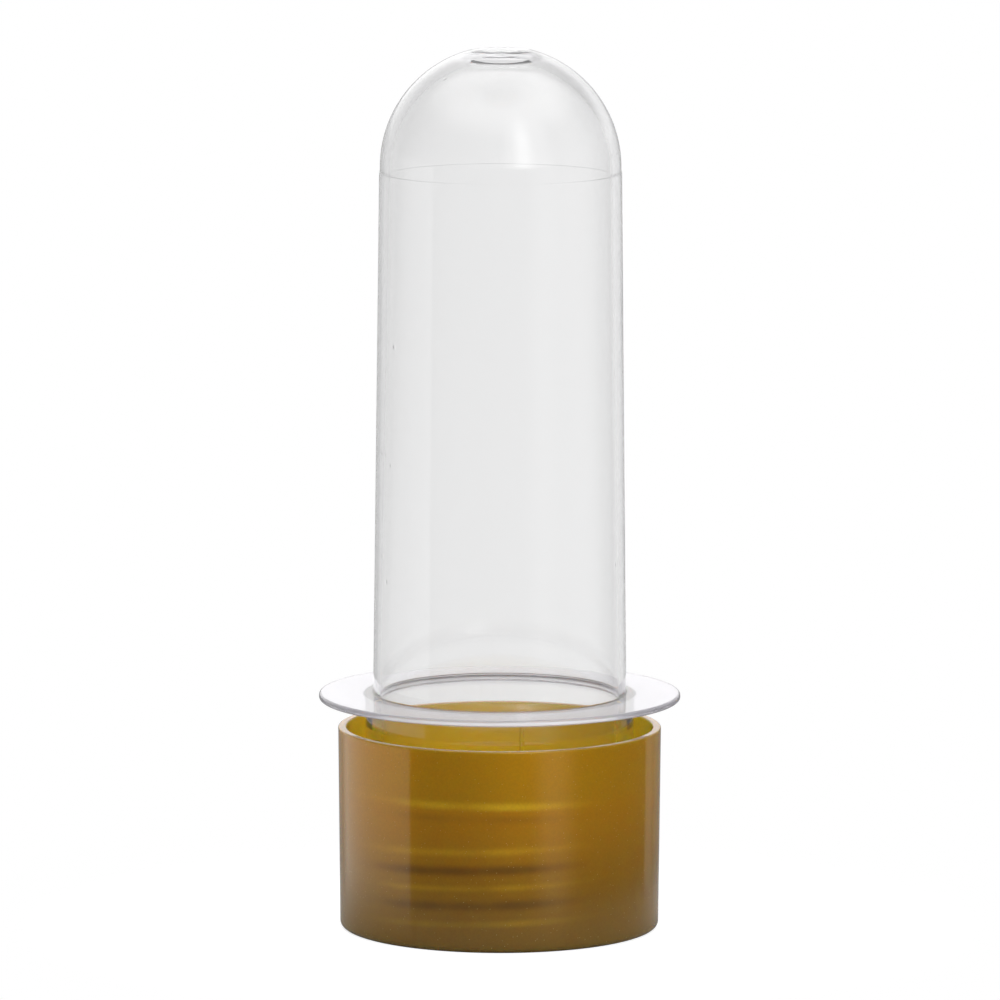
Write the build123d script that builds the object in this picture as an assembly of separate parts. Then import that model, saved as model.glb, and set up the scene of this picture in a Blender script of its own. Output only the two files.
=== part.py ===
from build123d import *
import math
import os

# Clear round-ended tube standing dome up on its screw cap, with a loose sealing
# disc between the tube's mouth and the cap's floor.
# Millimetres. Origin at the centre of the cap's flat underside, +Z along the
# tube's axis towards the dome. The front is -Y.

# Driving dimensions
OVERALL_HEIGHT = 80.0

# Screw cap
CAP_HEIGHT = 18.3
CAP_BASE_RADIUS = 14.43
CAP_RIM_RADIUS = 14.62
CAP_RIM_WALL = 0.75
CAP_FLOOR = 1.2
CAP_BASE_ROUND = 0.5
CAP_RIM_ROUND = 0.15
CAP_FLOOR_ROUND = 0.25
CAP_BORE_RADIUS = 13.45
CAP_COUNTERBORE_DEPTH = 4.8

# Sealing disc
LINER_RADIUS = 13.0
LINER_THICKNESS = 0.8

# Tube: neck and flange
NECK_RADIUS = 12.15
NECK_BORE_RADIUS = 11.15
MOUTH_ROUND = 0.2
FLANGE_RADIUS = 16.35
FLANGE_THICKNESS = 0.6
FLANGE_GAP = 2.5
FLANGE_ROUND = 0.25
FLANGE_FOOT_ROUND = 0.5
RIB_HEIGHT = 0.12
RIB_WIDTH = 0.24
RIB_ANGLE = -80.6
RIB_CLEARANCE = 0.4

# Tube: barrel and dome
BARREL_FOOT_RADIUS = 11.45
BARREL_TOP_RADIUS = 11.0
BORE_FOOT_RADIUS = 10.85
BORE_TOP_RADIUS = 9.93
BORE_STEP_HEIGHT = 0.9
DOME_RADIUS = 10.93
DOME_COLLAR = 0.45
DOME_WALL = 1.55

# Tube: moulding gate at the top of the dome
GATE_WELL_RADIUS = 2.6
GATE_FLOOR_RADIUS = 2.1
GATE_WELL_DEPTH = 0.5
GATE_NUB_RADIUS = 0.55
GATE_NUB_HEIGHT = 0.22
GATE_BOSS_RADIUS = 2.25
GATE_BOSS_HEIGHT = 0.55
GATE_ROUND = 0.15

# Right-hand single-start thread. The cap's ridge lies above the tube's ridge
# when the cap is tight, so that it presses the mouth onto the disc.
THREAD_PITCH = 3.18
THREAD_EMBED = 0.3
THREAD_ROUND = 0.15
TUBE_CREST_RADIUS = 13.15
TUBE_ROOT_WIDTH = 1.9
TUBE_CREST_WIDTH = 0.9
TUBE_THREAD_START = 1.15
TUBE_THREAD_ANGLE = -73.0
TUBE_THREAD_TURNS = 2.1
CAP_CREST_RADIUS = 12.6
CAP_ROOT_WIDTH = 1.8
CAP_CREST_WIDTH = 0.9
CAP_THREAD_LEAD = 1.36
CAP_THREAD_TURNS = 1.5
CAP_THREAD_CLEARANCE = 0.15

# Worked-out heights
MOUTH_HEIGHT = CAP_FLOOR + LINER_THICKNESS
FLANGE_BOTTOM = CAP_HEIGHT + FLANGE_GAP
FLANGE_TOP = FLANGE_BOTTOM + FLANGE_THICKNESS
DOME_CENTRE = OVERALL_HEIGHT - math.sqrt(DOME_RADIUS**2 - GATE_WELL_RADIUS**2)
SEAM_HEIGHT = DOME_CENTRE - DOME_COLLAR
INNER_APEX = DOME_CENTRE + DOME_RADIUS - DOME_WALL
INNER_DOME_CENTRE = INNER_APEX - BORE_TOP_RADIUS
GATE_FLOOR_HEIGHT = OVERALL_HEIGHT - GATE_WELL_DEPTH
GATE_BOSS_BOTTOM = INNER_APEX - GATE_BOSS_HEIGHT


def round_corners(section, radius, *corners):
    """Round the corners of the section that lie at the given points."""
    for corner in corners:
        fillet(section.vertices().sort_by_distance(corner)[0], radius)


def arc_on_circle(centre_height, radius, start_radius, end_radius):
    """Arc of a dome's section about a centre on the axis, above that centre."""
    def point(distance):
        return (distance, centre_height + math.sqrt(radius**2 - distance**2))

    middle = math.sqrt((start_radius**2 + end_radius**2) / 2)
    return ThreePointArc(point(start_radius), point(middle), point(end_radius))


def helical_ridge(root, crest, root_width, crest_width, height, angle, turns):
    """Thread ridge from a root radius to a crest radius, with blunt round ends.

    The ridge's middle starts at the given height and angle and climbs
    counter-clockwise.
    """
    inward = -1 if crest < root else 1
    base = root - inward * THREAD_EMBED
    slope = (root_width - crest_width) / abs(crest - root)
    base_width = root_width + slope * THREAD_EMBED
    with BuildSketch(Plane.XZ) as section:
        with BuildLine():
            Polyline(
                (base, -base_width / 2),
                (crest, -crest_width / 2),
                (crest, crest_width / 2),
                (base, base_width / 2),
                close=True,
            )
        make_face()
        tips = ((crest, -crest_width / 2), (crest, crest_width / 2))
        round_corners(section, THREAD_ROUND, *tips)
    profile = section.sketch
    climb = turns * THREAD_PITCH
    ridge = sweep(profile, path=Helix(THREAD_PITCH, climb, root), is_frenet=True)
    half = split(profile, bisect_by=Plane.XY, keep=Keep.TOP)
    first_end = revolve(half, Axis((0, 0, 0), (1, 0, 0)), revolution_arc=180)
    last_end = revolve(half, Axis((0, 0, 0), (-1, 0, 0)), revolution_arc=180)
    last_end = Pos(0, 0, climb) * Rot(0, 0, 360 * turns) * last_end
    return Pos(0, 0, height) * Rot(0, 0, angle) * (ridge + first_end + last_end)


def tube_body():
    """Mouth, neck, flange, barrel and dome, turned about the axis."""
    well_rim = (GATE_WELL_RADIUS, OVERALL_HEIGHT)
    well_floor = (GATE_FLOOR_RADIUS, GATE_FLOOR_HEIGHT)
    nub_top = GATE_FLOOR_HEIGHT + GATE_NUB_HEIGHT
    bore_step = FLANGE_BOTTOM - BORE_STEP_HEIGHT
    boss_top = INNER_DOME_CENTRE + math.sqrt(
        BORE_TOP_RADIUS**2 - GATE_BOSS_RADIUS**2
    )
    with BuildSketch(Plane.XZ) as section:
        with BuildLine():
            Polyline(
                (0, GATE_BOSS_BOTTOM),
                (0, nub_top),
                (GATE_NUB_RADIUS, nub_top),
                (GATE_NUB_RADIUS, GATE_FLOOR_HEIGHT),
                well_floor,
                well_rim,
            )
            arc_on_circle(DOME_CENTRE, DOME_RADIUS, GATE_WELL_RADIUS, DOME_RADIUS)
            Polyline(
                (DOME_RADIUS, DOME_CENTRE),
                (DOME_RADIUS, SEAM_HEIGHT),
                (BARREL_TOP_RADIUS, SEAM_HEIGHT),
                (BARREL_FOOT_RADIUS, FLANGE_TOP),
                (FLANGE_RADIUS, FLANGE_TOP),
                (FLANGE_RADIUS, FLANGE_BOTTOM),
                (NECK_RADIUS, FLANGE_BOTTOM),
                (NECK_RADIUS, MOUTH_HEIGHT),
                (NECK_BORE_RADIUS, MOUTH_HEIGHT),
                (NECK_BORE_RADIUS, bore_step),
                (BORE_FOOT_RADIUS, FLANGE_BOTTOM),
                (BORE_TOP_RADIUS, INNER_DOME_CENTRE),
            )
            arc_on_circle(
                INNER_DOME_CENTRE, BORE_TOP_RADIUS, BORE_TOP_RADIUS, GATE_BOSS_RADIUS
            )
            Polyline(
                (GATE_BOSS_RADIUS, boss_top),
                (GATE_BOSS_RADIUS, GATE_BOSS_BOTTOM),
                (0, GATE_BOSS_BOTTOM),
            )
        make_face()
        round_corners(section, GATE_ROUND, well_rim, well_floor)
        round_corners(section, GATE_ROUND, (GATE_BOSS_RADIUS, GATE_BOSS_BOTTOM))
        round_corners(section, FLANGE_FOOT_ROUND, (BARREL_FOOT_RADIUS, FLANGE_TOP))
        round_corners(
            section,
            FLANGE_ROUND,
            (FLANGE_RADIUS, FLANGE_TOP),
            (FLANGE_RADIUS, FLANGE_BOTTOM),
            (NECK_RADIUS, FLANGE_BOTTOM),
        )
        round_corners(
            section,
            MOUTH_ROUND,
            (NECK_RADIUS, MOUTH_HEIGHT),
            (NECK_BORE_RADIUS, MOUTH_HEIGHT),
        )
    return revolve(section.sketch, axis=Axis.Z)


def parting_rib(angle):
    """Fine upright line above the thread, where the two mould halves meet."""
    thread_middle = MOUTH_HEIGHT + TUBE_THREAD_START + TUBE_THREAD_TURNS * THREAD_PITCH
    bottom = thread_middle + TUBE_ROOT_WIDTH / 2 + RIB_CLEARANCE
    depth = RIB_HEIGHT + THREAD_EMBED
    rib = Box(
        depth,
        RIB_WIDTH,
        FLANGE_BOTTOM - bottom,
        align=(Align.MAX, Align.CENTER, Align.MIN),
    )
    return Rot(0, 0, angle) * Pos(NECK_RADIUS + RIB_HEIGHT, 0, bottom) * rib


def tube():
    """One clear moulding with the outer thread on its neck."""
    thread = helical_ridge(
        NECK_RADIUS,
        TUBE_CREST_RADIUS,
        TUBE_ROOT_WIDTH,
        TUBE_CREST_WIDTH,
        MOUTH_HEIGHT + TUBE_THREAD_START,
        TUBE_THREAD_ANGLE,
        TUBE_THREAD_TURNS,
    )
    ribs = [parting_rib(RIB_ANGLE), parting_rib(RIB_ANGLE + 180)]
    return tube_body() + thread + ribs


def cap_body():
    """Floor and drafted skirt, turned about the axis."""
    rim_bore = CAP_RIM_RADIUS - CAP_RIM_WALL
    step_top = CAP_HEIGHT - CAP_COUNTERBORE_DEPTH
    step_bottom = step_top - (rim_bore - CAP_BORE_RADIUS)
    with BuildSketch(Plane.XZ) as section:
        with BuildLine():
            Polyline(
                (0, 0),
                (CAP_BASE_RADIUS, 0),
                (CAP_RIM_RADIUS, CAP_HEIGHT),
                (rim_bore, CAP_HEIGHT),
                (rim_bore, step_top),
                (CAP_BORE_RADIUS, step_bottom),
                (CAP_BORE_RADIUS, CAP_FLOOR),
                (0, CAP_FLOOR),
                close=True,
            )
        make_face()
        round_corners(section, CAP_BASE_ROUND, (CAP_BASE_RADIUS, 0))
        round_corners(section, CAP_FLOOR_ROUND, (CAP_BORE_RADIUS, CAP_FLOOR))
        round_corners(
            section, CAP_RIM_ROUND, (CAP_RIM_RADIUS, CAP_HEIGHT), (rim_bore, CAP_HEIGHT)
        )
    return revolve(section.sketch, axis=Axis.Z)


def screw_cap():
    """One tinted moulding with the inner thread in its skirt."""
    lowest = MOUTH_HEIGHT + CAP_THREAD_CLEARANCE + CAP_ROOT_WIDTH / 2
    tube_middle = MOUTH_HEIGHT + TUBE_THREAD_START + CAP_THREAD_LEAD
    drop_angle = 360 * (tube_middle - lowest) / THREAD_PITCH
    thread = helical_ridge(
        CAP_BORE_RADIUS,
        CAP_CREST_RADIUS,
        CAP_ROOT_WIDTH,
        CAP_CREST_WIDTH,
        lowest,
        TUBE_THREAD_ANGLE - drop_angle,
        CAP_THREAD_TURNS,
    )
    return cap_body() + thread


def cap_liner():
    """Loose sealing disc on the cap's floor, held in by the thread above it."""
    bottom = Align.MIN
    disc = Cylinder(LINER_RADIUS, LINER_THICKNESS, align=(Align.CENTER, Align.CENTER, bottom))
    return Pos(0, 0, CAP_FLOOR) * disc


def export(name, shape):
    """Write one node's solids to its own file."""
    shape.label = name
    export_step(shape, f"parts/{name}.step")


os.makedirs("parts", exist_ok=True)
export("tube", tube())
export("screw_cap", screw_cap())
export("cap_liner", cap_liner())
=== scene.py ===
"""Clear round-ended tube on a gold screw cap: the looks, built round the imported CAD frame."""

import math

import bpy
import numpy as np
from mathutils import Matrix, Vector


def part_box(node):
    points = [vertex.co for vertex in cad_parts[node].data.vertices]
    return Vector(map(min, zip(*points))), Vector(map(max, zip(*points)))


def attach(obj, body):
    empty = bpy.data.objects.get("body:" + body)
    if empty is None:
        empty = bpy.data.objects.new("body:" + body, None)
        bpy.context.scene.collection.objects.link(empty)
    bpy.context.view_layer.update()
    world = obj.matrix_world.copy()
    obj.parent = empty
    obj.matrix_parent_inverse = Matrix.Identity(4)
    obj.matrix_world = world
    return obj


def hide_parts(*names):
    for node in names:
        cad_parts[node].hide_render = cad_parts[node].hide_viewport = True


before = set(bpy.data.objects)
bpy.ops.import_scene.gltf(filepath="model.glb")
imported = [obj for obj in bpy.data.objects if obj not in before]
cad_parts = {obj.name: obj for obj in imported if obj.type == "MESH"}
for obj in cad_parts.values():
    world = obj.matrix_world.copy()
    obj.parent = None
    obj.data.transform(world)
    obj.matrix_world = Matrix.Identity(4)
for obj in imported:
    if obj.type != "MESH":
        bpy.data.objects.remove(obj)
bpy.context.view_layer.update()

# Outlines are in millimetres, (radius, height) about the Z axis. lathe() makes metres of them.
MM = 0.001
AROUND = 360
ARC_STEPS = 6
DOME_STEPS = 56
THREAD_ROW = 0.1
SKIRT_ROW = 0.15
SKIRT_ENDS = 4

# Cap
CAP_FLOOR = 1.2
RIM_WALL = 0.75
CAP_BASE_RADIUS = 14.43
CAP_BORE = 13.45
CAP_BASE_ROUND = 0.5
CAP_FLOOR_ROUND = 0.25
CAP_EDGE_ROUND = 0.15
COUNTERBORE_DEPTH = 4.8
BORE_TOP_GAP = 0.3
BORE_FLOOR_GAP = 0.4

# Tube: neck, flange and barrel
NECK_RADIUS = 12.15
NECK_BORE = 10.65
NECK_TOP_GAP = 0.5
MOUTH_GAP = 0.3
MOUTH_ROUND = 0.2
FLANGE_BOTTOM = 20.8
FLANGE_TOP = 21.4
FLANGE_ROUND = 0.25
BARREL_FOOT = 11.45
BARREL_TOP = 10.91
FOOT_ROUND = 0.1
SEAM_ROUND = 0.015
BORE_FOOT = 10.85
BORE_TOP = 9.93
BORE_TAPER = 2.5
BORE_ROUND = 0.15

# The mould's two parting lines on the neck, each (angle, height)
RIB_WIDTH = 0.24
RIB_STEPS = 13
RIBS = ((math.radians(-80.6), 0.12), (math.radians(99.4), 0.02))

# Tube: dome and the moulding gate at its top. The dome ends a little below the CAD's.
DOME_RADIUS = 10.85
TOP_DROP = 0.27
DOME_COLLAR = 0.45
DOME_WALL = 1.25
WELL_RADIUS = 2.6
WELL_DEPTH = 0.18
WELL_EDGE = 0.5
NUB_RADIUS = 0.5
NUB_HEIGHT = 0.08
BOSS_RADIUS = 4.0
BOSS_HEIGHT = 0.5
GATE_STEPS = 24

# Right-hand thread
PITCH = 3.18
TUBE_THREAD = {
    "root": NECK_RADIUS,
    "height": 1.0,
    "root_width": 1.9,
    "crest_width": 0.9,
    "start": 3.15,
    "angle": math.radians(-73.0),
    "turns": 2.1,
}
CAP_THREAD = {
    "root": CAP_BORE,
    "height": -0.85,
    "root_width": 1.8,
    "crest_width": 0.9,
    "start": 3.05,
    "angle": math.radians(-238.28),
    "turns": 1.5,
}

# Sealing disc
DISC_ROUND = 0.12

# Painted light and shade on the cap: dark bands where the thread, the bore's step and the floor's corner
# thicken its wall, and light lines beside the thread and at the step
RIDGE_SHADE = 0.55
RIDGE_LIGHT_LINE = 1.7
LIGHT_LINE_WIDTH = 0.45
LIGHT_LINE_STRENGTH = 0.6
STEP_SHADE = 1.1
STEP_SHADE_STRENGTH = 0.5
CORNER_SHADE_REACH = 2.5
CORNER_SHADE_STRENGTH = 0.35
# The painted bands show most at this angle and opposite it, and fade to nothing in between
CLEAREST = math.radians(-102)
FADE_POWER = 4
# How far outside the rim's bore a vertex still counts as the inner wall
INSIDE_MARGIN = 0.05

# Gold plastic, linear colours
# Painted shade: the body colour is darker and browner at the base than at the top
GOLD_SHADED_BASE = (0.27, 0.145, 0.018)
GOLD_LIT_TOP = (0.55, 0.243, 0.007)
GOLD_TOP_HEIGHT = 0.018
# Painted shade and painted light of the thread bands
GOLD_SHADED = (0.12, 0.06, 0.015)
GOLD_LIT = (1.0, 0.58, 0.03)
# Painted glow: the inner wall is a far brighter gold than the outer one
GOLD_INSIDE_GLOW = (1.0, 0.64, 0.08)
GOLD_GRAIN = (0.10, 0.06, 0.01)
GOLD_FLECK = (0.85, 0.62, 0.25)
SHADED_SHARE = 0.72
LIT_SHARE = 0.55
GRAIN_SHARE = 0.1
FLECK_SHARE = 0.6
PEARL = 0.35
GOLD_DEPTH = 0.0065
GOLD_SCATTER = (1.0, 0.5, 0.15)
GOLD_ROUGHNESS = 0.36
COAT_ROUGHNESS = 0.015
COAT_IOR = 1.5

# Clear plastic
CLEAR_TINT = (0.94, 0.94, 0.94)
FLANGE_TINT = (0.97, 0.95, 1.0)
CLEAR_SHARE = 0.985
FLANGE_CLEAR_SHARE = 0.72
CLEAR_IOR = 1.58
ABSORPTION = (0.87, 0.87, 0.89)
ABSORPTION_DENSITY = 60.0
# The flange's cast fades over these (start, end) distances from its edges, in millimetres
FADE_ABOVE = (0.6, -0.1)
FADE_BELOW = (-0.8, 0.1)
FADE_OUTWARDS = (-0.2, 0.3)

# Liner
LINER_COLOUR = (0.85, 0.84, 0.80)
LINER_ROUGHNESS = 0.5

# Fine textures: scales count features per metre, heights are in metres
WAVE_SCALE, WAVE_HEIGHT = 90.0, 0.00002
STREAK_SCALE, STREAK_HEIGHT, STREAK_STRETCH = 700.0, 0.0000015, 0.05
SPECK_SCALE, SPECK_HEIGHT, SPECK_SIZE = 220.0, 0.00001, 0.06
FADING_SCALE, FADING_NOISE, FADING_LEAST = 90.0, (0.35, 0.6), 0.5
GRAIN_SCALE, GRAIN_NOISE = 5000.0, (0.3, 0.7)
FLECK_SCALE, FLECK_SIZE = 2400.0, 0.1
LINER_SCALE, LINER_HEIGHT = 2500.0, 0.00002

# Studio: brightness round the horizon, as (degrees, level) from the front (0) by way of the left (90).
# PANEL is what the plastics mirror low down, SOFT what they mirror higher up and what lights them, and
# THROUGH what shows through the clear one.
PANEL_LEVELS = (
    (0, 0.07), (66, 0.07), (69, 0.76), (120, 0.84), (140, 0.8), (155, 0.3), (190, 0.3), (200, 0.22),
    (218, 0.22), (221, 0.33), (229, 0.33), (232, 0.07), (297, 0.07), (321, 0.45), (341, 0.07), (360, 0.07),
)
SOFT_LEVELS = (
    (0, 0.5), (40, 0.2), (90, 0.3), (150, 1.0), (175, 1.3), (210, 0.5), (250, 0.13), (300, 0.2), (320, 1.2),
    (338, 3.2), (352, 1.2), (360, 0.5),
)
THROUGH_LEVELS = (
    (0, 0.92), (60, 0.92), (105, 0.88), (130, 0.74), (150, 0.74), (165, 0.8), (174, 0.96), (180, 1.02),
    (185, 1.08), (195, 1.08), (205, 1.04), (215, 0.98), (228, 0.8), (245, 0.7), (265, 0.85), (290, 0.92),
    (360, 0.92),
)
# How they change as the direction rises, each over (start, end) of its height, and the level above
MIRRORED_RISE = (0.02, 0.12)
SOFT_RISE, SOFT_OVERHEAD = (0.5, 0.9), (1.6, 1.6, 1.6)
THROUGH_RISE, THROUGH_ABOVE = (0.15, 0.4), (0.7, 0.7, 0.7)
THROUGH_TOP_RISE, THROUGH_OVERHEAD = (0.55, 0.85), (1.0, 1.0, 1.0)
WHITE = (1.0, 1.0, 1.0)
FLOOR_RADIUS = 0.045
FLOOR_SIDES = 128
FLOOR_TONE = (0.4, 0.4, 0.4)
FLOOR_ROUGHNESS = 0.6
FLOOR_GLOW = 0.8
CLEAR_BOUNCES = 32
DIFFUSE_BOUNCES = 16

# Camera: a long lens that looks a little down on the object.
LENS = 346.4
CAMERA_DISTANCE = 0.8687
CAMERA_ELEVATION = math.radians(8.0815)
CAMERA_ROLL = math.radians(0.1)
CAMERA_CLIP = (0.01, 10)
AIM_HEIGHT = 0.03893


# --- Outlines -------------------------------------------------------------


def round_corner(before, corner, after, radius):
    """Points of the arc that rounds one corner of an outline."""
    to_before = np.subtract(before, corner)
    to_after = np.subtract(after, corner)
    to_before = to_before / np.linalg.norm(to_before)
    to_after = to_after / np.linalg.norm(to_after)
    half = math.acos(np.clip(to_before @ to_after, -1, 1)) / 2
    middle = (to_before + to_after) / np.linalg.norm(to_before + to_after)
    centre = corner + middle * radius / math.sin(half)
    start = corner + to_before * radius / math.tan(half) - centre
    end = corner + to_after * radius / math.tan(half) - centre
    sweep = math.pi - 2 * half
    share = np.linspace(0, 1, ARC_STEPS + 1)[:, None]
    arc = np.sin((1 - share) * sweep) * start + np.sin(share * sweep) * end
    return centre + arc / math.sin(sweep)


def outline(*corners):
    """Outline through corners, each (radius, height) or (radius, height, rounding)."""
    points = []
    for i, corner in enumerate(corners):
        place = np.array(corner[:2], float)
        if len(corner) == 3:
            points.extend(round_corner(corners[i - 1][:2], place, corners[i + 1][:2], corner[2]))
        else:
            points.append(place)
    return [tuple(p) for p in points]


def dome_arc(centre_height, radius, start_radius, end_radius):
    """Points of a dome's section, from one distance off the axis to another."""
    turns = np.linspace(math.asin(start_radius / radius), math.asin(end_radius / radius), DOME_STEPS)
    return [(radius * math.sin(t), centre_height + radius * math.cos(t)) for t in turns]


def swell(radius, height):
    """Points of a smooth round swelling, from its middle to its edge, as (radius, height)."""
    radii = np.linspace(0, radius, GATE_STEPS)
    return radii, height * (1 + np.cos(math.pi * radii / radius)) / 2


def dense_rows(start, end, step):
    """Evenly spaced points of a straight run of an outline, ends left out."""
    count = math.ceil(math.dist(start, end) / step) + 1
    return [tuple(p) for p in np.linspace(start, end, count)[1:-1]]


# --- Relief: what stands out from a turned surface -------------------------


def smooth_step(share):
    share = np.clip(share, 0, 1)
    return share * share * (3 - 2 * share)


def ridge_distance(angle, height, thread):
    """How far each place on a turned surface lies from the middle line of a thread ridge."""
    length = 2 * math.pi * thread["turns"]
    climb = PITCH * thread["turns"]
    nearest = np.full(angle.shape, np.inf)
    first = np.mod(angle - thread["angle"], 2 * math.pi)
    for turn in range(-1, math.ceil(thread["turns"]) + 1):
        unrolled = first + 2 * math.pi * turn
        along = np.clip(unrolled, 0, length)
        across = (unrolled - along) * thread["root"]
        above = height - thread["start"] - climb * along / length
        nearest = np.minimum(nearest, np.hypot(across, above))
    return nearest


def thread_relief(angle, height, thread):
    """How far a thread ridge with blunt round ends stands out at each place."""
    flank = (thread["root_width"] - thread["crest_width"]) / 2
    inside = thread["root_width"] / 2 - ridge_distance(angle, height, thread)
    return thread["height"] * smooth_step(inside / flank)


def rib_relief(angle, height, bottom):
    """Two fine upright lines where the halves of the mould meet."""
    relief = np.zeros(angle.shape)
    for place, rib_height in RIBS:
        off = np.abs(np.mod(angle - place + math.pi, 2 * math.pi) - math.pi) * NECK_RADIUS
        relief += rib_height * smooth_step((RIB_WIDTH - off) / (RIB_WIDTH / 2))
    return relief * smooth_step((height - bottom) / RIB_WIDTH)


# --- Meshes ---------------------------------------------------------------


def lathe(name, points, angles, relief=None, relief_rows=slice(0)):
    """One closed mesh from an outline that runs from the axis back to the axis.

    relief(angle, height) says how far the rows in relief_rows stand out. The
    normals are worked out from the shape, so that flats stay flat.
    """
    section = np.array(points, float)
    radius, angle = np.meshgrid(section[:, 0], angles, indexing="ij")
    height = np.meshgrid(section[:, 1], angles, indexing="ij")[0]
    if relief:
        radius[relief_rows] += relief(angle[relief_rows], height[relief_rows])
    grid = np.stack((radius * np.cos(angle), radius * np.sin(angle), height), -1) * MM
    rows, columns = len(points) - 2, len(angles)
    index = 1 + np.arange(rows * columns).reshape(rows, columns)
    beside = np.roll(index, -1, 1)
    last = 1 + rows * columns
    faces = np.stack((index[:-1], index[1:], beside[1:], beside[:-1]), -1).reshape(-1, 4).tolist()
    faces += [(0, a, b) for a, b in zip(index[0].tolist(), beside[0].tolist())]
    faces += [(last, b, a) for a, b in zip(index[-1].tolist(), beside[-1].tolist())]
    mesh = bpy.data.meshes.new(name)
    mesh.from_pydata([grid[0, 0], *grid[1:-1].reshape(-1, 3), grid[-1, 0]], [], faces)
    mesh.shade_smooth()
    along = grid[2:] - grid[:-2]
    around = (np.roll(grid, -1, 1) - np.roll(grid, 1, 1))[1:-1]
    normals = np.cross(along, around)
    normals /= np.linalg.norm(normals, axis=-1, keepdims=True)
    poles = [np.mean(normals[i], axis=0) for i in (0, -1)]
    mesh.normals_split_custom_set_from_vertices([poles[0], *normals.reshape(-1, 3), poles[1]])
    piece = bpy.data.objects.new(name, mesh)
    bpy.context.scene.collection.objects.link(piece)
    return piece


def even_angles():
    return np.linspace(0, 2 * math.pi, AROUND, endpoint=False)


def tube_angles():
    """Even steps, with finer ones across the two parting lines."""
    offsets = np.linspace(-RIB_WIDTH, RIB_WIDTH, RIB_STEPS) / NECK_RADIUS
    extra = [place + offset for place, _ in RIBS for offset in offsets]
    return np.unique(np.mod(np.concatenate((even_angles(), extra)), 2 * math.pi))


def tube_outline(mouth, top, flange_radius):
    """Outer side from the gate down to the mouth, then the bore up to the boss."""
    dome_centre = top - math.sqrt(DOME_RADIUS**2 - WELL_RADIUS**2)
    seam = dome_centre - DOME_COLLAR
    inner_apex = dome_centre + DOME_RADIUS - DOME_WALL
    inner_centre = inner_apex - BORE_TOP
    radii, hollow = swell(WELL_RADIUS, WELL_DEPTH)
    nub = NUB_HEIGHT * np.exp(-((radii / NUB_RADIUS) ** 2))
    well = list(zip(radii, top - hollow + nub))
    radii, boss = swell(BOSS_RADIUS, BOSS_HEIGHT)
    inner_top = list(zip(radii, inner_centre + np.sqrt(BORE_TOP**2 - radii**2) - boss))
    outer_dome = dome_arc(dome_centre, DOME_RADIUS, WELL_RADIUS, DOME_RADIUS)
    inner_dome = dome_arc(inner_centre, BORE_TOP, BORE_TOP, BOSS_RADIUS)
    neck_start = (NECK_RADIUS, FLANGE_BOTTOM - NECK_TOP_GAP)
    neck_end = (NECK_RADIUS, mouth + MOUTH_GAP)
    neck = dense_rows(neck_start, neck_end, THREAD_ROW)
    above = outline(
        *well[:-1],
        (*outer_dome[0], WELL_EDGE),
        *outer_dome[1:-1],
        (DOME_RADIUS, dome_centre),
        (DOME_RADIUS, seam, SEAM_ROUND),
        (BARREL_TOP, seam, SEAM_ROUND),
        (BARREL_FOOT, FLANGE_TOP, FOOT_ROUND),
        (flange_radius, FLANGE_TOP, FLANGE_ROUND),
        (flange_radius, FLANGE_BOTTOM, FLANGE_ROUND),
        (NECK_RADIUS, FLANGE_BOTTOM, FLANGE_ROUND),
        neck[0],
    )
    below = outline(
        neck[-1],
        (NECK_RADIUS, mouth, MOUTH_ROUND),
        (NECK_BORE, mouth, MOUTH_ROUND),
        (NECK_BORE, FLANGE_BOTTOM - BORE_TAPER, BORE_ROUND),
        (BORE_FOOT, FLANGE_BOTTOM, BORE_ROUND),
        *inner_dome[:-1],
        *inner_top[::-1],
    )
    return above, neck[1:-1], below


def clear_tube():
    """The tube, one moulding, with the thread and parting lines on its neck."""
    low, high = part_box("tube")
    mouth, top = low.z / MM, high.z / MM - TOP_DROP
    above, neck, below = tube_outline(mouth, top, high.x / MM)
    rib_bottom = TUBE_THREAD["start"] + PITCH * TUBE_THREAD["turns"] + TUBE_THREAD["root_width"]

    def relief(angle, height):
        return thread_relief(angle, height, TUBE_THREAD) + rib_relief(angle, height, rib_bottom)

    rows = slice(len(above) - 1, len(above) + len(neck) + 1)
    return lathe("clear_tube", above + neck + below, tube_angles(), relief, rows)


def gold_cap():
    """The cap, one moulding, with the thread inside its skirt."""
    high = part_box("screw_cap")[1]
    rim, rim_height = high.x / MM, high.z / MM
    rim_bore = rim - RIM_WALL
    step_top = rim_height - COUNTERBORE_DEPTH
    step_bottom = step_top - (rim_bore - CAP_BORE)
    skirt = dense_rows((CAP_BASE_RADIUS, 0), (rim, rim_height), SKIRT_ROW)
    bore_top = (CAP_BORE, step_bottom - BORE_TOP_GAP)
    bore_end = (CAP_BORE, CAP_FLOOR + BORE_FLOOR_GAP)
    bore = dense_rows(bore_top, bore_end, THREAD_ROW)
    above = outline(
        (0, 0),
        (CAP_BASE_RADIUS, 0, CAP_BASE_ROUND),
        *skirt[SKIRT_ENDS:-SKIRT_ENDS],
        (rim, rim_height, CAP_EDGE_ROUND),
        (rim_bore, rim_height, CAP_EDGE_ROUND),
        (rim_bore, step_top, CAP_EDGE_ROUND),
        (CAP_BORE, step_bottom, CAP_EDGE_ROUND),
        bore[0],
    )
    below = outline(bore[-1], (CAP_BORE, CAP_FLOOR, CAP_FLOOR_ROUND), (0, CAP_FLOOR))

    def relief(angle, height):
        return thread_relief(angle, height, CAP_THREAD)

    rows = slice(len(above) - 1, len(above) + len(bore) - 1)
    cap = lathe("gold_cap", above + bore[1:-1] + below, even_angles(), relief, rows)
    mark_cap(cap, rim_bore, (step_top + step_bottom) / 2)
    return cap


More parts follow.
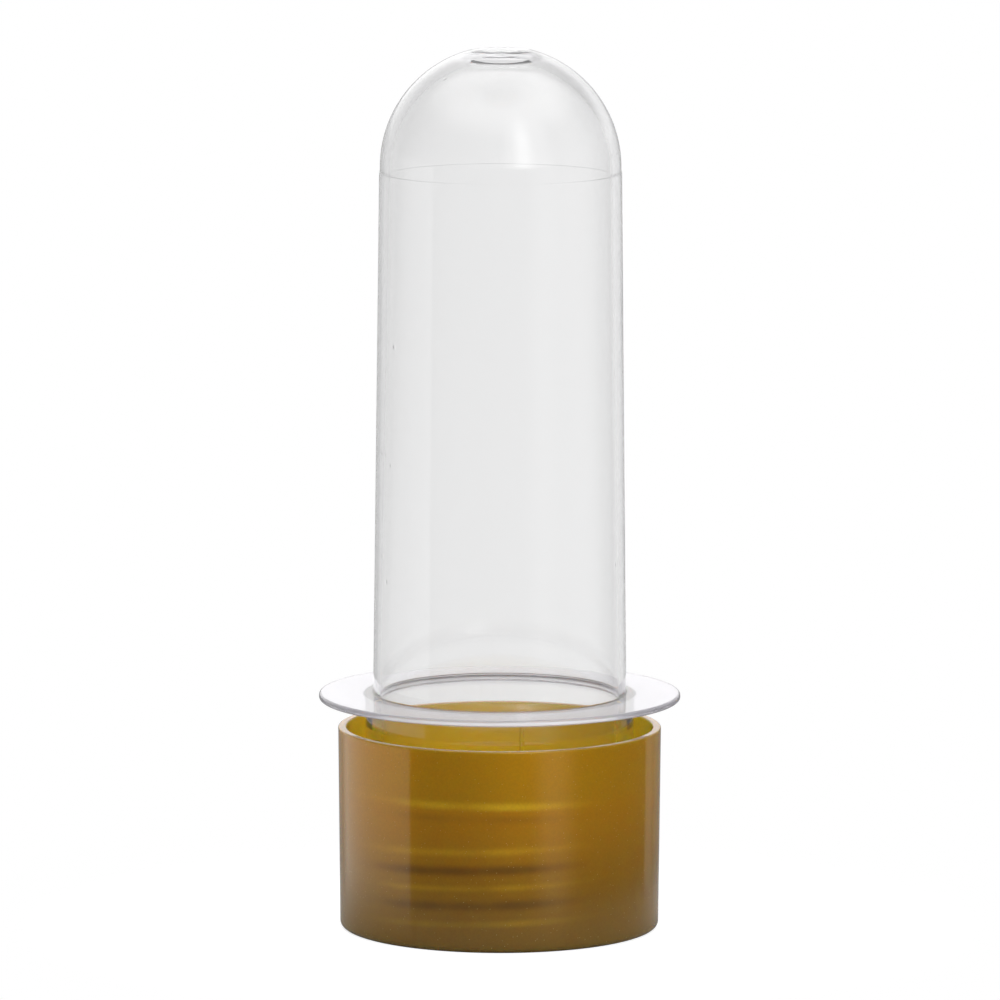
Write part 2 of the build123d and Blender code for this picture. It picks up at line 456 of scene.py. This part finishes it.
def mark_cap(cap, rim_bore, step_height):
    """Two measures for the cap's material at each vertex.

    The first is painted light and shade: below 0, painted shade, where the thread,
    the bore's step or the floor thickens the wall, and above 0, painted light, in the
    lines beside the thread and at the step. It is strongest at the front and back,
    and 0 at the sides. inside is 1 on the inner wall.
    """

    def band(distance, width):
        return np.exp(-((distance / width) ** 2))

    place = np.array([v.co for v in cap.data.vertices]) / MM
    angle, height = np.arctan2(place[:, 1], place[:, 0]), place[:, 2]
    off = ridge_distance(angle, height, CAP_THREAD)
    # Painted shade over the thread ridge, painted light lines beside it and at the bore's step, painted
    # shade below the step
    show = -band(off, RIDGE_SHADE)
    show += LIGHT_LINE_STRENGTH * band(off - RIDGE_LIGHT_LINE, LIGHT_LINE_WIDTH)
    show += band(height - step_height, LIGHT_LINE_WIDTH)
    show -= STEP_SHADE_STRENGTH * band(height - step_height + STEP_SHADE, RIDGE_SHADE)
    # Painted shade low on the skirt, beside the cap's floor
    show -= CORNER_SHADE_STRENGTH * band(height, CORNER_SHADE_REACH)
    show *= np.cos(angle - CLEAREST) ** FADE_POWER
    inside = (np.hypot(place[:, 0], place[:, 1]) < rim_bore + INSIDE_MARGIN) & (height > CAP_BASE_ROUND)
    for name, values in (("show_through", show), ("inside", inside)):
        attribute = cap.data.attributes.new(name, "FLOAT", "POINT")
        attribute.data.foreach_set("value", values.astype(np.float32))


def sealing_disc():
    """The thin disc that lies on the cap's floor."""
    low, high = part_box("cap_liner")
    radius, bottom, top = high.x / MM, low.z / MM, high.z / MM
    points = outline((0, bottom), (radius, bottom, DISC_ROUND), (radius, top, DISC_ROUND), (0, top))
    return lathe("sealing_disc", points, even_angles())


# --- Materials ------------------------------------------------------------


def new_material(name):
    """A node material with a Principled shader, its nodes and links ready to add to."""
    material = bpy.data.materials.new(name)
    material.use_nodes = True
    nodes = material.node_tree.nodes
    return material, nodes, material.node_tree.links, nodes["Principled BSDF"]


def noise(nodes, links, scale, detail=2.0, stretch=1.0):
    """Noise in the object's own metres, drawn out upwards by a stretch below 1."""
    place = nodes.new("ShaderNodeTexCoord")
    mapping = nodes.new("ShaderNodeMapping")
    mapping.inputs["Scale"].default_value = (1, 1, stretch)
    texture = nodes.new("ShaderNodeTexNoise")
    texture.inputs["Scale"].default_value = scale
    texture.inputs["Detail"].default_value = detail
    links.new(place.outputs["Object"], mapping.inputs["Vector"])
    links.new(mapping.outputs["Vector"], texture.inputs["Vector"])
    return texture.outputs["Fac"]


def bump(nodes, links, height, distance, under=None):
    """Normal of a fine relief, laid over the normal under it."""
    node = nodes.new("ShaderNodeBump")
    node.inputs["Distance"].default_value = distance
    node.inputs["Strength"].default_value = 1.0
    links.new(height, node.inputs["Height"])
    if under is not None:
        links.new(under, node.inputs["Normal"])
    return node.outputs["Normal"]


def math_node(nodes, links, operation, *values):
    node = nodes.new("ShaderNodeMath")
    node.operation = operation
    for socket, value in zip(node.inputs, values):
        if isinstance(value, (int, float)):
            socket.default_value = value
        else:
            links.new(value, socket)
    return node.outputs[0]


def map_range(nodes, links, value, low, high, out_low=0.0, out_high=1.0):
    """Value from low to high becomes out_low to out_high, smoothly."""
    ramp = nodes.new("ShaderNodeMapRange")
    ramp.interpolation_type = "SMOOTHSTEP"
    for name, number in (("From Min", low), ("From Max", high), ("To Min", out_low), ("To Max", out_high)):
        ramp.inputs[name].default_value = number
    links.new(value, ramp.inputs["Value"])
    return ramp.outputs["Result"]


def attribute(nodes, name):
    node = nodes.new("ShaderNodeAttribute")
    node.attribute_name = name
    return node.outputs["Fac"]


def mix_colour(nodes, links, factor, first, second):
    """Mix of two colours, each a value or a socket."""
    mix = nodes.new("ShaderNodeMix")
    mix.data_type = "RGBA"
    links.new(factor, mix.inputs["Factor"])
    # Inputs 6 and 7 and output 2 are the node's colour sockets
    for socket, colour in ((mix.inputs[6], first), (mix.inputs[7], second)):
        if isinstance(colour, tuple):
            socket.default_value = (*colour, 1)
        else:
            links.new(colour, socket)
    return mix.outputs[2]


def flecks(nodes, links, scale, size):
    """Sparse fine round specks, as 1 on 0."""
    place = nodes.new("ShaderNodeTexCoord")
    cells = nodes.new("ShaderNodeTexVoronoi")
    cells.inputs["Scale"].default_value = scale
    links.new(place.outputs["Object"], cells.inputs["Vector"])
    return map_range(nodes, links, cells.outputs["Distance"], size, size / 2)


def axes(nodes, links, source):
    """Sockets for x, y and z, of a point of the object or of a direction of the world light."""
    place = nodes.new("ShaderNodeTexCoord")
    split = nodes.new("ShaderNodeSeparateXYZ")
    links.new(place.outputs[source], split.inputs[0])
    return [split.outputs[axis] for axis in "XYZ"]


def distance_from_axis(nodes, links, x, y):
    level = nodes.new("ShaderNodeCombineXYZ")
    links.new(x, level.inputs["X"])
    links.new(y, level.inputs["Y"])
    reach = nodes.new("ShaderNodeVectorMath")
    reach.operation = "LENGTH"
    links.new(level.outputs["Vector"], reach.inputs[0])
    return reach.outputs["Value"]


def flange_mask(nodes, links):
    """1 on the flange and the top of the neck, 0 on the barrel and in the bore."""
    x, y, z = axes(nodes, links, "Object")
    radius = distance_from_axis(nodes, links, x, y)
    mask = 1.0
    for value, edge, fade in (
        (z, FLANGE_TOP, FADE_ABOVE),
        (z, FLANGE_BOTTOM, FADE_BELOW),
        (radius, BARREL_FOOT, FADE_OUTWARDS),
    ):
        share = map_range(nodes, links, value, (edge + fade[0]) * MM, (edge + fade[1]) * MM)
        mask = math_node(nodes, links, "MULTIPLY", mask, share)
    return mask


def clear_plastic():
    """Water-white polystyrene: faint moulding waves and a lavender cast in the flange."""
    material, nodes, links, shader = new_material("clear_plastic_look")
    flange = flange_mask(nodes, links)
    tint = mix_colour(nodes, links, flange, CLEAR_TINT, FLANGE_TINT)
    clear = map_range(nodes, links, flange, 0, 1, CLEAR_SHARE, FLANGE_CLEAR_SHARE)
    links.new(tint, shader.inputs["Base Color"])
    links.new(clear, shader.inputs["Transmission Weight"])
    shader.inputs["IOR"].default_value = CLEAR_IOR
    shader.inputs["Roughness"].default_value = 0.0
    waves = noise(nodes, links, WAVE_SCALE)
    streaks = noise(nodes, links, STREAK_SCALE, stretch=STREAK_STRETCH)
    specks = flecks(nodes, links, SPECK_SCALE, SPECK_SIZE)
    surface = bump(nodes, links, waves, WAVE_HEIGHT)
    surface = bump(nodes, links, streaks, STREAK_HEIGHT, surface)
    surface = bump(nodes, links, specks, SPECK_HEIGHT, surface)
    links.new(surface, shader.inputs["Normal"])
    absorption = nodes.new("ShaderNodeVolumeAbsorption")
    absorption.inputs["Color"].default_value = (*ABSORPTION, 1)
    absorption.inputs["Density"].default_value = ABSORPTION_DENSITY
    links.new(absorption.outputs["Volume"], nodes["Material Output"].inputs["Volume"])
    return material


def gold_plastic():
    """Translucent gold with pearl, glossy.

    Painted light and shade where the thread shows through, painted shade that
    darkens it to brown towards the base, and a painted glow on the inner wall.
    """
    material, nodes, links, shader = new_material("gold_plastic_look")
    z = axes(nodes, links, "Object")[2]
    # Painted shade: darker and browner towards the base
    body = mix_colour(nodes, links, map_range(nodes, links, z, 0, GOLD_TOP_HEIGHT), GOLD_SHADED_BASE, GOLD_LIT_TOP)
    fading = map_range(nodes, links, noise(nodes, links, FADING_SCALE), *FADING_NOISE, FADING_LEAST, 1)
    # Painted light and shade of the thread bands, broken up by noise
    show = math_node(nodes, links, "MULTIPLY", attribute(nodes, "show_through"), fading)
    inside = attribute(nodes, "inside")
    grain = noise(nodes, links, GRAIN_SCALE, detail=1.0)
    specks = flecks(nodes, links, FLECK_SCALE, FLECK_SIZE)
    layers = (
        (map_range(nodes, links, show, 0, -1, 0, SHADED_SHARE), GOLD_SHADED),
        (map_range(nodes, links, show, 0, 1, 0, LIT_SHARE), GOLD_LIT),
        # Painted glow on the inner wall
        (inside, GOLD_INSIDE_GLOW),
        (map_range(nodes, links, grain, *GRAIN_NOISE, 0, GRAIN_SHARE), GOLD_GRAIN),
        (map_range(nodes, links, specks, 0, 1, 0, FLECK_SHARE), GOLD_FLECK),
    )
    for share, colour in layers:
        body = mix_colour(nodes, links, share, body, colour)
    links.new(body, shader.inputs["Base Color"])
    links.new(map_range(nodes, links, inside, 0, 1, PEARL, 0), shader.inputs["Metallic"])
    shader.inputs["Roughness"].default_value = GOLD_ROUGHNESS
    shader.inputs["Specular IOR Level"].default_value = 0.0
    shader.inputs["Subsurface Weight"].default_value = 1.0
    shader.inputs["Subsurface Radius"].default_value = GOLD_SCATTER
    shader.inputs["Subsurface Scale"].default_value = GOLD_DEPTH
    shader.inputs["Coat Weight"].default_value = 1.0
    shader.inputs["Coat IOR"].default_value = COAT_IOR
    shader.inputs["Coat Roughness"].default_value = COAT_ROUGHNESS
    return material


def liner_plastic():
    """Soft milky polyethylene."""
    material, nodes, links, shader = new_material("liner_plastic_look")
    shader.inputs["Base Color"].default_value = (*LINER_COLOUR, 1)
    shader.inputs["Roughness"].default_value = LINER_ROUGHNESS
    grain = noise(nodes, links, LINER_SCALE)
    links.new(bump(nodes, links, grain, LINER_HEIGHT), shader.inputs["Normal"])
    return material


# --- Studio ---------------------------------------------------------------


def levels(nodes, links, azimuth, stops):
    """Brightness round the horizon from (degrees from the front towards -X, level) stops."""
    ramp = nodes.new("ShaderNodeValToRGB")
    ramp.color_ramp.interpolation = "EASE"
    elements = ramp.color_ramp.elements
    while len(elements) < len(stops):
        elements.new(1.0)
    for element, (degrees, level) in zip(elements, stops):
        element.position = degrees / 360
        element.color = (level, level, level, 1)
    links.new(azimuth, ramp.inputs["Fac"])
    return ramp.outputs["Color"]


def studio_light():
    """World light: bright behind, a panel at the left, a strip at the front right, soft overhead.

    What is seen through the clear plastic has its own softer levels, and the
    camera itself sees plain white.
    """
    world = bpy.data.worlds.new("studio")
    bpy.context.scene.world = world
    world.use_nodes = True
    nodes, links = world.node_tree.nodes, world.node_tree.links
    x, y, z = axes(nodes, links, "Generated")
    minus_x = math_node(nodes, links, "MULTIPLY", x, -1.0)
    minus_y = math_node(nodes, links, "MULTIPLY", y, -1.0)
    turn = math_node(nodes, links, "ARCTAN2", minus_x, minus_y)
    share = math_node(nodes, links, "FRACT", math_node(nodes, links, "DIVIDE", turn, 2 * math.pi))
    soft = levels(nodes, links, share, SOFT_LEVELS)
    soft = mix_colour(nodes, links, map_range(nodes, links, z, *SOFT_RISE), soft, SOFT_OVERHEAD)
    panels = levels(nodes, links, share, PANEL_LEVELS)
    mirrored = mix_colour(nodes, links, map_range(nodes, links, z, *MIRRORED_RISE), panels, soft)
    through = levels(nodes, links, share, THROUGH_LEVELS)
    for rise, level in ((THROUGH_RISE, THROUGH_ABOVE), (THROUGH_TOP_RISE, THROUGH_OVERHEAD)):
        through = mix_colour(nodes, links, map_range(nodes, links, z, *rise), through, level)
    rays = nodes.new("ShaderNodeLightPath").outputs
    light = mix_colour(nodes, links, rays["Is Glossy Ray"], soft, mirrored)
    light = mix_colour(nodes, links, rays["Is Transmission Ray"], light, through)
    light = mix_colour(nodes, links, rays["Is Camera Ray"], light, WHITE)
    links.new(light, nodes["Background"].inputs["Color"])


def floor():
    """Pale table top that fades out into the white sweep."""
    bpy.ops.mesh.primitive_circle_add(vertices=FLOOR_SIDES, radius=FLOOR_RADIUS, fill_type="TRIFAN")
    table = bpy.context.object
    table.name = "floor"
    material, nodes, links, shader = new_material("pale_floor")
    shader.inputs["Base Color"].default_value = (*FLOOR_TONE, 1)
    shader.inputs["Roughness"].default_value = FLOOR_ROUGHNESS
    shader.inputs["Specular IOR Level"].default_value = 0.0
    rays = nodes.new("ShaderNodeLightPath").outputs
    seen = math_node(nodes, links, "MAXIMUM", rays["Is Camera Ray"], rays["Is Transmission Ray"])
    glow = math_node(nodes, links, "MULTIPLY", seen, FLOOR_GLOW)
    shader.inputs["Emission Color"].default_value = (1, 1, 1, 1)
    links.new(glow, shader.inputs["Emission Strength"])
    x, y, _ = axes(nodes, links, "Object")
    radius = distance_from_axis(nodes, links, x, y)
    links.new(map_range(nodes, links, radius, FLOOR_RADIUS, FLOOR_RADIUS / 3), shader.inputs["Alpha"])
    table.data.materials.append(material)


def camera():
    data = bpy.data.cameras.new("camera")
    data.lens = LENS
    data.clip_start, data.clip_end = CAMERA_CLIP
    eye = bpy.data.objects.new("camera", data)
    bpy.context.scene.collection.objects.link(eye)
    back = Vector((0, -math.cos(CAMERA_ELEVATION), math.sin(CAMERA_ELEVATION)))
    turn = (-back).to_track_quat("-Z", "Y").to_matrix().to_4x4()
    eye.matrix_world = (
        Matrix.Translation(Vector((0, 0, AIM_HEIGHT)) + back * CAMERA_DISTANCE)
        @ turn
        @ Matrix.Rotation(CAMERA_ROLL, 4, "Z")
    )
    bpy.context.scene.camera = eye


# --- The scene --------------------------------------------------------------


def add_piece(piece, material, body, node):
    """Give a new piece its look, and let it stand for its CAD node."""
    piece.data.materials.append(material)
    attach(piece, body)
    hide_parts(node)


add_piece(clear_tube(), clear_plastic(), "tube", "tube")
add_piece(gold_cap(), gold_plastic(), "cap", "screw_cap")
add_piece(sealing_disc(), liner_plastic(), "liner", "cap_liner")
bpy.context.scene.view_settings.view_transform = "Standard"
cycles = bpy.context.scene.cycles
cycles.max_bounces = cycles.transmission_bounces = cycles.glossy_bounces = CLEAR_BOUNCES
cycles.diffuse_bounces = DIFFUSE_BOUNCES
studio_light()
floor()
camera()
